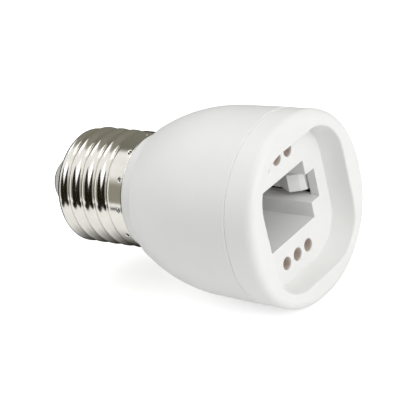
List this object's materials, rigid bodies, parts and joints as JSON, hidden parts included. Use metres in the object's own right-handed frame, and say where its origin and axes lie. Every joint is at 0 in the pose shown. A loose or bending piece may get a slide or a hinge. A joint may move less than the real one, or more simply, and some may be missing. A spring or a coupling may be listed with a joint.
{
  "type": "bulb socket adapter",
  "caption": "White moulded lamp adapter with a nickel screw cap at one end and a keyed pin socket with sprung latches at the other.",
  "frame": {"origin": "on the lamp axis, at the centre of the seat, the floor of the lamp pocket", "axes": "+X along the lamp axis out of the socket mouth, +Y through the keyways, +Z across the two rows of pin holes"},
  "size_m": [0.0691, 0.0432, 0.0432],
  "materials": {
    "white_body": "satin moulded",
    "white_cap": "satin moulded",
    "white_latch": "satin moulded",
    "carrier_plastic": "matt moulded",
    "nickel_plate": "bright rolled",
    "cone_insulator": "glazed",
    "contact_metal": "turned",
    "contact_brass": "stamped",
    "tinned_solder": "set solder",
    "spring_steel": "drawn",
    "pin_steel": "ground",
    "screw_zinc": "zinc plated",
    "live_insulation": "extruded",
    "neutral_insulation": "extruded"
  },
  "bodies": {
    "adapter_body": {"body_housing": "white_body", "front_cap": "white_cap", "contact_carrier": "carrier_plastic", "screw_shell": "nickel_plate", "cap_insulator": "cone_insulator", "centre_contact": "contact_metal", "centre_solder": "tinned_solder", "shell_solder": "tinned_solder", "contact_strip_upper": "contact_brass", "contact_strip_lower": "contact_brass", "live_tag": "contact_brass", "neutral_tag": "contact_brass", "latch_spring_far": "spring_steel", "latch_spring_near": "spring_steel", "latch_pin_far": "pin_steel", "latch_pin_near": "pin_steel", "carrier_screws": "screw_zinc", "live_wire": "live_insulation", "neutral_wire": "neutral_insulation"},
    "far_finger": {"latch_far": "white_latch"},
    "near_finger": {"latch_near": "white_latch"}
  },
  "joints": [
    {"name": "far_latch_swing", "type": "hinge", "parent": "adapter_body", "child": "far_finger", "pos_m": [-0.0178, 0.0127, 0], "axis": [0, 0, 1], "range_deg": [0, 9], "stiffness_Nm_per_rad": 0.1, "deforming": ["latch_spring_far"]},
    {"name": "near_latch_swing", "type": "hinge", "parent": "adapter_body", "child": "near_finger", "pos_m": [-0.0178, -0.0127, 0], "axis": [0, 0, -1], "range_deg": [0, 9], "stiffness_Nm_per_rad": 0.1, "deforming": ["latch_spring_near"]}
  ]
}
